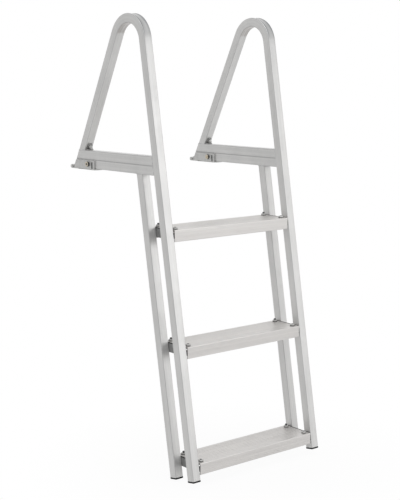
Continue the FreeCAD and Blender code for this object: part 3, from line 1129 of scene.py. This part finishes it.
    def foot_cap(self, y: float, z: float) -> Shape:
        """Moulded cap with a rounded rim and a dished sole.

        Args:
            y: Middle of the sole from front to rear.
            z: Height of the sole.

        Returns:
            The leaning cap.
        """
        h = self.half
        shape = Shape.block((-h, -h, 0.0), (h, h, self.cap_flange)).soften(self.cap_edge, NUT_ROWS)
        sole = [face for face in shape.bm.faces if face.normal.z < -ALIGNED]
        shape.sink(sole, (0.0, 0.0, self.sole_dish), self.sole_rim)
        shape.stand(self.lean, (0.0, y, z))
        return shape

    def build(self) -> None:
        """Builds both side frames."""
        rear_foot_y = self.rail_y(self.rear_foot_z) + self.rail_pitch
        for side in Side:
            self.front_rail().piece("hairpin_rail", Body.LADDER, FINISHES.tube, "front_rail", side=side)
            self.rear_rail().piece("straight_rail", Body.LADDER, FINISHES.tube, "rear_rail", side=side)
            tubes = (("lower", self.lower_deck_rail()), ("upper", self.deck_rail(self.deck_z + self.tube)))
            for level, shape in tubes:
                shape.piece(f"{level}_deck_tube", Body.LADDER, FINISHES.tube, f"deck_rail_{level}", side=side)
            self.bead.chain(self.weld_runs()).piece("weld_beads", Body.LADDER, FINISHES.weld, side=side)
            for place, y, z in (("front", self.rail_y(self.front_foot_z), self.front_foot_z),
                                ("rear", rear_foot_y, self.rear_foot_z)):
                self.foot_cap(y, z).piece(f"{place}_foot", Body.LADDER, FINISHES.cap,
                                          f"foot_cap_{place}", side=side)


@dataclass
class Treads:
    """Three ribbed treads, open below, the angles under their ends and their bolts."""

    side_frame: SideFrame
    pitch: float = 305.0
    bottom: float = -747.0
    depth: float = 101.6
    height: float = 32.0
    skin: float = 2.5
    lip: float = 8.0
    nose: float = 2.0
    end_gap: float = 3.0
    grooves: int = 9
    groove_margin: float = 14.0
    groove_width: float = 3.0
    groove_depth: float = 0.35
    line_count: int = 4
    line_width: float = 0.9
    line_depth: float = 0.45
    bolt_in: float = 15.5
    bolt_off: float = 36.5
    front_bolt: BoltedNut = BoltedNut(1.1)
    rear_bolt: BoltedNut = BoltedNut(4.4)
    angle_setback: float = 6.0
    angle_edge: float = 0.6
    # bars of painted shade in the gaps between the tread's ends and the rails
    gap_shade_inset: float = 0.5
    gap_shade_setback: float = 0.8
    gap_shade_span: Span = (7.5, 22.5)
    gap_shade_rise: float = 0.5
    gap_shade_edge: float = 0.3

    def spans(self) -> tuple[list[Span], list[Span]]:
        """Strips that the grooves and the faces' lines take up, from the tread's lower front corner.

        Returns:
            The grooves, as (front, rear), and the lines, as (low, high).
        """
        def row(first: float, step: float, count: int, width: float) -> list[Span]:
            """Evenly spaced strips of one width."""
            return [(first + k * step - width / 2.0, first + k * step + width / 2.0) for k in range(count)]
        step = (self.depth - 2.0 * self.groove_margin) / (self.grooves - 1)
        gap = self.height / (self.line_count + 1)
        return (row(self.groove_margin, step, self.grooves, self.groove_width),
                row(gap, gap, self.line_count, self.line_width))

    def tread(self, top: float) -> Shape:
        """Open-bottomed extrusion with a grooved top, lined faces and a lip at the foot of each wall.

        Args:
            top: Height of the tread's top.

        Returns:
            The closed tread.
        """
        x0 = self.side_frame.half + self.end_gap
        x1 = FRAME_SPACING - x0
        middle = self.middle_y(top)
        y0, z0 = middle - self.depth / 2.0, top - self.height
        shape = Shape()
        size = Matrix.Diagonal((self.height, self.depth, 1.0, 1.0))
        place = (Matrix.Translation((x0, middle, top - self.height / 2.0))
                 @ Matrix.Rotation(math.pi / 2.0, 4, "Y") @ size)
        bmesh.ops.create_grid(shape.bm, x_segments=1, y_segments=1, size=0.5, matrix=place)
        shape.round_corners(self.nose)
        grooves, lines = self.spans()
        across = [edge for off in (self.skin, self.lip, self.line_depth) for edge in (off, self.depth - off)]
        across += [edge for span in grooves for edge in span]
        up = [self.skin, self.height - self.skin, self.height - self.groove_depth]
        up += [edge for span in lines for edge in span]
        for off in across:
            shape.score((x0, y0 + off, z0), (0.0, 1.0, 0.0))
        for off in up:
            shape.score((x0, y0, z0 + off), UP)

        def empty(face: BMFace) -> bool:
            """Whether a cell of the section lies in a groove, a line, the hollow or its mouth.

            Args:
                face: A cell of the section.

            Returns:
                True where there is no metal.
            """
            spot = face.calc_center_median()
            y, z = spot.y - y0, spot.z - z0
            inset = min(y, self.depth - y)
            if inset > (self.lip if z < self.skin else self.skin) and z < self.height - self.skin:
                return True
            if z > self.height - self.groove_depth and any(low < y < high for low, high in grooves):
                return True
            return inset < self.line_depth and any(low < z < high for low, high in lines)

        bmesh.ops.delete(shape.bm, geom=[face for face in shape.bm.faces if empty(face)], context="FACES")
        drawn = bmesh.ops.extrude_face_region(shape.bm, geom=shape.bm.faces[:], use_keep_orig=True)
        shape.move((x1 - x0, 0.0, 0.0), picked(drawn, BMVert))
        return shape.face_out()

    def middle_y(self, top: float) -> float:
        """Middle of a tread from front to rear."""
        return self.side_frame.rail_y(top - self.height / 2.0) + self.side_frame.rail_pitch / 2.0

    def bolts(self, top: float, part: Callable[[BoltedNut, Vector, Vector], Shape]) -> Shape:
        """One part of the four bolted nuts on a tread.

        Args:
            top: Height of the tread's top.
            part: Makes the wanted part of a nut from its seat and direction.

        Returns:
            The part, four times.
        """
        near = self.side_frame.half + self.bolt_in
        shape = Shape()
        for x in (near, FRAME_SPACING - near):
            for bolt, off in ((self.front_bolt, -self.bolt_off), (self.rear_bolt, self.bolt_off)):
                shape.add(part(bolt, Vector((x, self.middle_y(top) + off, top)), Vector(UP)))
        return shape

    def angle(self, level: str, top: float) -> Shape:
        """Left angle under a tread's end, its sawn ends set back from the tread's faces.

        Args:
            level: Name of the tread.
            top: Height of the tread's top.

        Returns:
            The angle.
        """
        shape = Shape.from_node(f"step_bracket_{level}_left")
        for way in (-1.0, 1.0):
            end = self.middle_y(top) + way * (self.depth / 2.0 - self.angle_setback)
            shape.slice((0.0, end, 0.0), (0.0, way, 0.0))
        return shape.soften(self.angle_edge)

    def painted_gap_shades(self, top: float) -> Shape:
        """Bars of painted shade in the gaps at the tread's ends: before each angle's sawn end and on its
        leg's top edge.

        Args:
            top: Height of the tread's top.

        Returns:
            Two bars of painted shade at each end of the tread.
        """
        shape = Shape()
        front = self.middle_y(top) - self.depth / 2.0
        rear = front + self.depth - self.angle_setback
        near = self.side_frame.half + self.gap_shade_inset
        far = self.side_frame.half + self.end_gap - self.gap_shade_inset
        for x0, x1 in ((near, far), (FRAME_SPACING - far, FRAME_SPACING - near)):
            middle = front + self.angle_setback
            for y0, y1, low, high in (
                    (front + self.gap_shade_setback, middle, -self.gap_shade_span[1], -self.gap_shade_span[0]),
                    (middle, rear, -self.skin, self.gap_shade_rise)):
                shape.add(Shape.block((x0, y0, top + low), (x1, y1, top + high)).soften(self.gap_shade_edge))
        return shape

    def build(self) -> None:
        """Builds every tread with its angles and bolts."""
        for number, level in enumerate(("bottom", "middle", "top")):
            top = self.bottom + number * self.pitch
            self.tread(top).piece(f"ribbed_tread_{level}", Body.LADDER, FINISHES.tread, f"tread_{level}")
            self.bolts(top, BoltedNut.bright).piece(f"tread_nuts_{level}", Body.LADDER, FINISHES.steel)
            # dark washers as painted shade under the nuts, and the dark threaded ends
            self.bolts(top, BoltedNut.dark).piece(f"tread_threads_{level}", Body.LADDER, FINISHES.dark_steel)
            # bars of painted shade in the gaps beside the tread's ends
            self.painted_gap_shades(top).piece(f"angle_toes_{level}", Body.LADDER, FINISHES.dark_steel)
            for side in Side:
                self.angle(level, top).piece(f"end_angle_{level}", Body.LADDER, FINISHES.angle,
                                             f"step_bracket_{level}", side=side)


@dataclass
class DockBrackets:
    """Folded brackets, hinges, cross bolts, buffers and the corner cleats."""

    side_frame: SideFrame
    edge: float = 0.4
    bolt_edge: float = 0.5
    head_edge: float = 0.45
    flank_edge: float = 0.3
    tip_edge: float = 0.1
    lip_edge: float = 0.2
    buffer_edge: float = 0.8
    fold: float = 1.8
    least_fold: float = 20.0
    outer: float = 17.0
    collar: float = 6.8
    collar_length: float = 2.5
    head_flats: float = 13.0
    head: float = 3.5
    head_face: float = 1.0
    end: float = 0.3
    bolt: float = 3.0
    bolt_tip: float = 2.0
    bolt_y: float = -22.0
    bolt_z: float = 15.9
    cleat_plate: float = 3.0
    cleat_bolt_up: float = 13.5
    cleat_bolt_in: float = 10.0
    cleat_bolt_radius: float = 3.0
    cleat_bolt_tip: float = 5.0
    cleat_nut: float = 5.0
    cleat_nut_flats: float = 10.0
    cleat_washer: float = 6.6
    cleat_washer_thickness: float = 1.2
    # dark ring of painted shade between the cleat's washer and nut
    cleat_shade_ring_radius: float = 6.0
    cleat_shade_ring_thickness: float = 1.0
    plate: float = 3.0
    wall_front_y: float = -50.0
    wall_top_z: float = 26.0
    lip_reach: float = 12.9

    def folded(self) -> Shape:
        """Bracket with rounded folds and broken edges.

        Returns:
            The left bracket.
        """
        def fold_line(edge: BMEdge) -> bool:
            """Whether an edge is the outer corner of a fold.

            Args:
                edge: An edge of the bracket.

            Returns:
                True for the long edges of the base.
            """
            first, second = (vert.co for vert in edge.verts)
            low = max(first.z, second.z) < NEAR
            wide = min(abs(first.x), abs(second.x)) > self.outer - NEAR
            return low and wide and abs(first.y - second.y) > self.least_fold
        shape = Shape.from_node("bracket_left")
        shape.soften(self.fold, ROUND_ROWS, keep=fold_line)
        return shape.soften(self.edge)

    def cross_bolt(self) -> Shape:
        """Bolt across the bracket with the plated faces of its two nuts.

        Returns:
            The left bolt.
        """
        seat = self.outer + self.collar_length
        length = 2.0 * seat + self.head + self.bolt_tip
        start = (-seat, self.bolt_y, self.bolt_z)
        shape = Shape.disc(self.bolt, length, start, (1.0, 0.0, 0.0), SHAFT_SIDES).soften(self.bolt_edge)
        for way in (-1.0, 1.0):
            base = (way * (seat + self.head - self.head_face - self.end), self.bolt_y, self.bolt_z)
            face = Shape.hexagon(self.head_flats, self.head_face, base, (way, 0.0, 0.0))
            shape.add(face.soften(self.head_edge, NUT_ROWS))
        return shape

    def collars(self) -> Shape:
        """Dark collars of the cross bolt, its nuts' flanks dark as painted shade, and a disc of painted shade
        on the outer nut.

        Returns:
            All dark parts of the left bolt.
        """
        shape = Shape()
        for way in (-1.0, 1.0):
            out = (way, 0.0, 0.0)
            seat = (way * self.outer, self.bolt_y, self.bolt_z)
            shape.add(Shape.disc(self.collar, self.collar_length, seat, out).soften(self.edge))
            # each nut behind its plated face: flanks dark as painted shade
            base = (way * (self.outer + self.collar_length), self.bolt_y, self.bolt_z)
            height = self.head - self.head_face - self.end
            shape.add(Shape.hexagon(self.head_flats, height, base, out).soften(self.flank_edge))
        # dark disc of painted shade on the outer nut's face
        face = (self.end - self.outer - self.collar_length - self.head, self.bolt_y, self.bolt_z)
        tip = Shape.disc(self.bolt, self.end, face, (-1.0, 0.0, 0.0), SHAFT_SIDES)
        return shape.add(tip.soften(self.tip_edge))

    def cleat_seat(self) -> Vector:
        """Middle of the cleat bolt on the cleat's face.

        Returns:
            The point, on the left frame.
        """
        side = self.side_frame
        front = side.leg_y(side.deck_top) - side.half / math.cos(side.leg_lean)
        foot = Vector((0.0, front, side.deck_top))
        up, out = tilted(-side.leg_lean), waterward(-side.leg_lean)
        return foot + up * self.cleat_bolt_up + out * self.cleat_plate

    def cleat_bolt(self) -> Shape:
        """Bright washer, nut and bolt of the cleat.

        Returns:
            All bright parts of the bolt.
        """
        out = waterward(-self.side_frame.leg_lean)
        seat = self.cleat_seat()
        length = self.cleat_bolt_in + self.cleat_nut + self.cleat_bolt_tip
        start = seat - out * self.cleat_bolt_in
        shape = Shape.disc(self.cleat_bolt_radius, length, start, out, SHAFT_SIDES).soften(self.bolt_edge)
        washer = Shape.disc(self.cleat_washer, self.cleat_washer_thickness, seat, out)
        shape.add(washer.soften(self.flank_edge))
        low = self.cleat_washer_thickness + self.cleat_shade_ring_thickness
        nut = Shape.hexagon(self.cleat_nut_flats, self.cleat_nut - low, seat + out * low, out)
        return shape.add(nut.soften(self.bolt_edge, NUT_ROWS))

    def cleat_shade_ring(self) -> Shape:
        """Dark ring of painted shade between the cleat's washer and nut.

        Returns:
            The ring.
        """
        out = waterward(-self.side_frame.leg_lean)
        seat = self.cleat_seat() + out * self.cleat_washer_thickness
        return Shape.disc(self.cleat_shade_ring_radius, self.cleat_shade_ring_thickness, seat, out).soften(self.lip_edge)

    def lips(self) -> Shape:
        """Lips that turn in from the walls' front edges and close the gaps beside the deck rail.

        Returns:
            The two lips of the left bracket.
        """
        shape = Shape()
        for way in (-1.0, 1.0):
            near, far = sorted((way * self.lip_reach, way * (self.outer - self.plate)))
            low = (near, self.wall_front_y, self.plate)
            shape.add(Shape.block(low, (far, self.wall_front_y + self.plate, self.wall_top_z)))
        return shape.soften(self.lip_edge)

    def build(self) -> None:
        """Builds the hardware of both sides."""
        small = (("hinge_lug", Body.LADDER, FINISHES.cast, self.bolt_edge),
                 ("deck_plug", Body.LADDER, FINISHES.cap, self.bolt_edge),
                 ("corner_cleat", Body.LADDER, FINISHES.cleat, self.bolt_edge),
                 ("hinge_pin", Body.BRACKETS, FINISHES.steel, self.bolt_edge),
                 ("buffer", Body.BRACKETS, FINISHES.buffer, self.buffer_edge))
        for side in Side:
            self.folded().piece("folded_bracket", Body.BRACKETS, FINISHES.bracket, "bracket", side=side)
            self.cross_bolt().piece("cross_bolt_piece", Body.BRACKETS, FINISHES.yellow_zinc, "cross_bolt",
                                    side=side)
            self.collars().piece("bolt_collars_and_flank_shade", Body.BRACKETS, FINISHES.dark_steel, side=side)
            self.cleat_bolt().piece("cleat_bolt_piece", Body.LADDER, FINISHES.steel, "cleat_bolt", side=side)
            self.cleat_shade_ring().piece("cleat_shade_ring", Body.LADDER, FINISHES.dark_steel, side=side)
            self.lips().piece("bracket_lips", Body.BRACKETS, FINISHES.bracket, side=side)
            for node, body, finish, width in small:
                shape = Shape.from_node(f"{node}_left").soften(width)
                shape.piece(f"{node}_piece", body, finish, node, side=side)


@dataclass
class Studio:
    """Camera, lamps, white surroundings and a pale floor."""

    focal_px: float = 1144.07
    image_height: float = 500.0
    sensor: float = 36.0
    place: Point = (-1817.45, -2705.90, 273.09)
    tilt: float = math.radians(79.888)
    heading: float = math.radians(-39.432)
    centre_row: float = 275.0
    sight: float = 60.0
    floor_z: float = -812.0
    floor_radius: float = 9000.0
    floor_sides: int = 96
    floor_colour: Colour = triple(0.86)
    feet: Point = (0.22, -0.42, 0.0)
    shadow: tuple[Span, ...] = ((0.15, 0.05), (0.62, 0.0))
    ambient: float = 0.48
    aim: Point = (219.0, -300.0, -180.0)
    lamps: tuple[tuple[str, Point, float, float], ...] = (("front_lamp", (1.6, -3.5, 0.6), 2.4, 21.7),
                                                          ("top_lamp", (0.3, -1.6, 3.2), 2.6, 39.0))

    def camera(self) -> None:
        """Camera at the photograph's viewing angle."""
        data = bpy.data.cameras.new("camera")
        data.sensor_width = self.sensor
        data.lens = self.focal_px * self.sensor / self.image_height
        data.shift_y = (self.centre_row - self.image_height / 2.0) / self.image_height
        data.clip_end = self.sight
        made = placed("camera", data)
        made.location = Vector(self.place) * MM
        made.rotation_euler = (self.tilt, 0.0, self.heading)
        bpy.context.scene.camera = made

    def lamp(self, name: str, place: Point, size: float, power: float) -> None:
        """Soft square lamp that looks at the ladder.

        Args:
            name: Name of the lamp.
            place: Its place in metres.
            size: Width of its square, in metres.
            power: Its power in watts.
        """
        data = bpy.data.lights.new(name, "AREA")
        data.size = size
        data.energy = power
        made = placed(name, data)
        made.location = place
        way = Vector(self.aim) * MM - made.location
        made.rotation_euler = way.to_track_quat("-Z", "Y").to_euler()

    def unlit_rays(self, graph: Graph) -> Signal:
        """1 for camera, glossy and transmission rays, which see plain white.

        Args:
            graph: Graph of the material or the world.

        Returns:
            The signal.
        """
        def ray(kind: str) -> Signal:
            """One output of Light Path."""
            return graph.node("ShaderNodeLightPath", {}, {}, kind)
        return ray("Is Camera Ray").highest(ray("Is Glossy Ray")).highest(ray("Is Transmission Ray"))

    def world(self) -> None:
        """White surroundings that light the ladder softly."""
        made = bpy.data.worlds.new("studio")
        made.use_nodes = True
        bpy.context.scene.world = made
        graph = Graph(made.node_tree)
        strength = self.unlit_rays(graph) * (1.0 - self.ambient) + self.ambient
        light = graph.node("ShaderNodeBackground", {}, {"Color": WHITE, "Strength": strength})
        graph.node("ShaderNodeOutputWorld", {}, {"Surface": light})

    def floor(self) -> None:
        """Pale floor that keeps a soft shadow near the feet and fades into the white."""
        shape = Shape()
        bmesh.ops.create_circle(shape.bm, cap_ends=True, segments=self.floor_sides,
                                radius=self.floor_radius, matrix=Matrix.Translation((0.0, 0.0, self.floor_z)))
        bmesh.ops.scale(shape.bm, vec=(MM,) * 3, verts=shape.bm.verts)
        mesh = bpy.data.meshes.new("floor")
        shape.bm.to_mesh(mesh)
        shape.bm.free()
        made = placed("floor", mesh)
        material = bpy.data.materials.new("pale_floor")
        material.use_nodes = True
        graph = Graph(material.node_tree)
        spot = graph.coordinates(Grain.IN_PLACE, (1.0, 1.0, 0.0))
        reach = graph.node("ShaderNodeVectorMath", {"operation": "DISTANCE"}, {0: spot, 1: self.feet},
                           "Value")
        near = graph.ramp(reach, *self.shadow)
        plain = graph.node("ShaderNodeBsdfDiffuse", {}, {"Color": (*self.floor_colour, 1.0)})
        white = graph.node("ShaderNodeEmission", {}, {"Color": WHITE})
        seen = graph.node("ShaderNodeMixShader", {}, {0: near, 1: white, 2: plain})
        mixed = graph.node("ShaderNodeMixShader", {}, {0: self.unlit_rays(graph), 1: plain, 2: seen})
        graph.node("ShaderNodeOutputMaterial", {}, {"Surface": mixed})
        mesh.materials.append(material)

    def build(self) -> None:
        """Sets the studio up."""
        bpy.context.scene.view_settings.view_transform = "Standard"
        self.camera()
        self.world()
        self.floor()
        for name, place, size, power in self.lamps:
            self.lamp(name, place, size, power)


def main() -> None:
    """Builds the ladder's pieces and the studio."""
    logging.basicConfig(level=logging.INFO, format="%(message)s")
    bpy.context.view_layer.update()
    side_frame = SideFrame()
    for group in (side_frame, Treads(side_frame), DockBrackets(side_frame), Studio()):
        LOG.info("building %s", type(group).__name__)
        group.build()


if __name__ == "__main__":
    main()
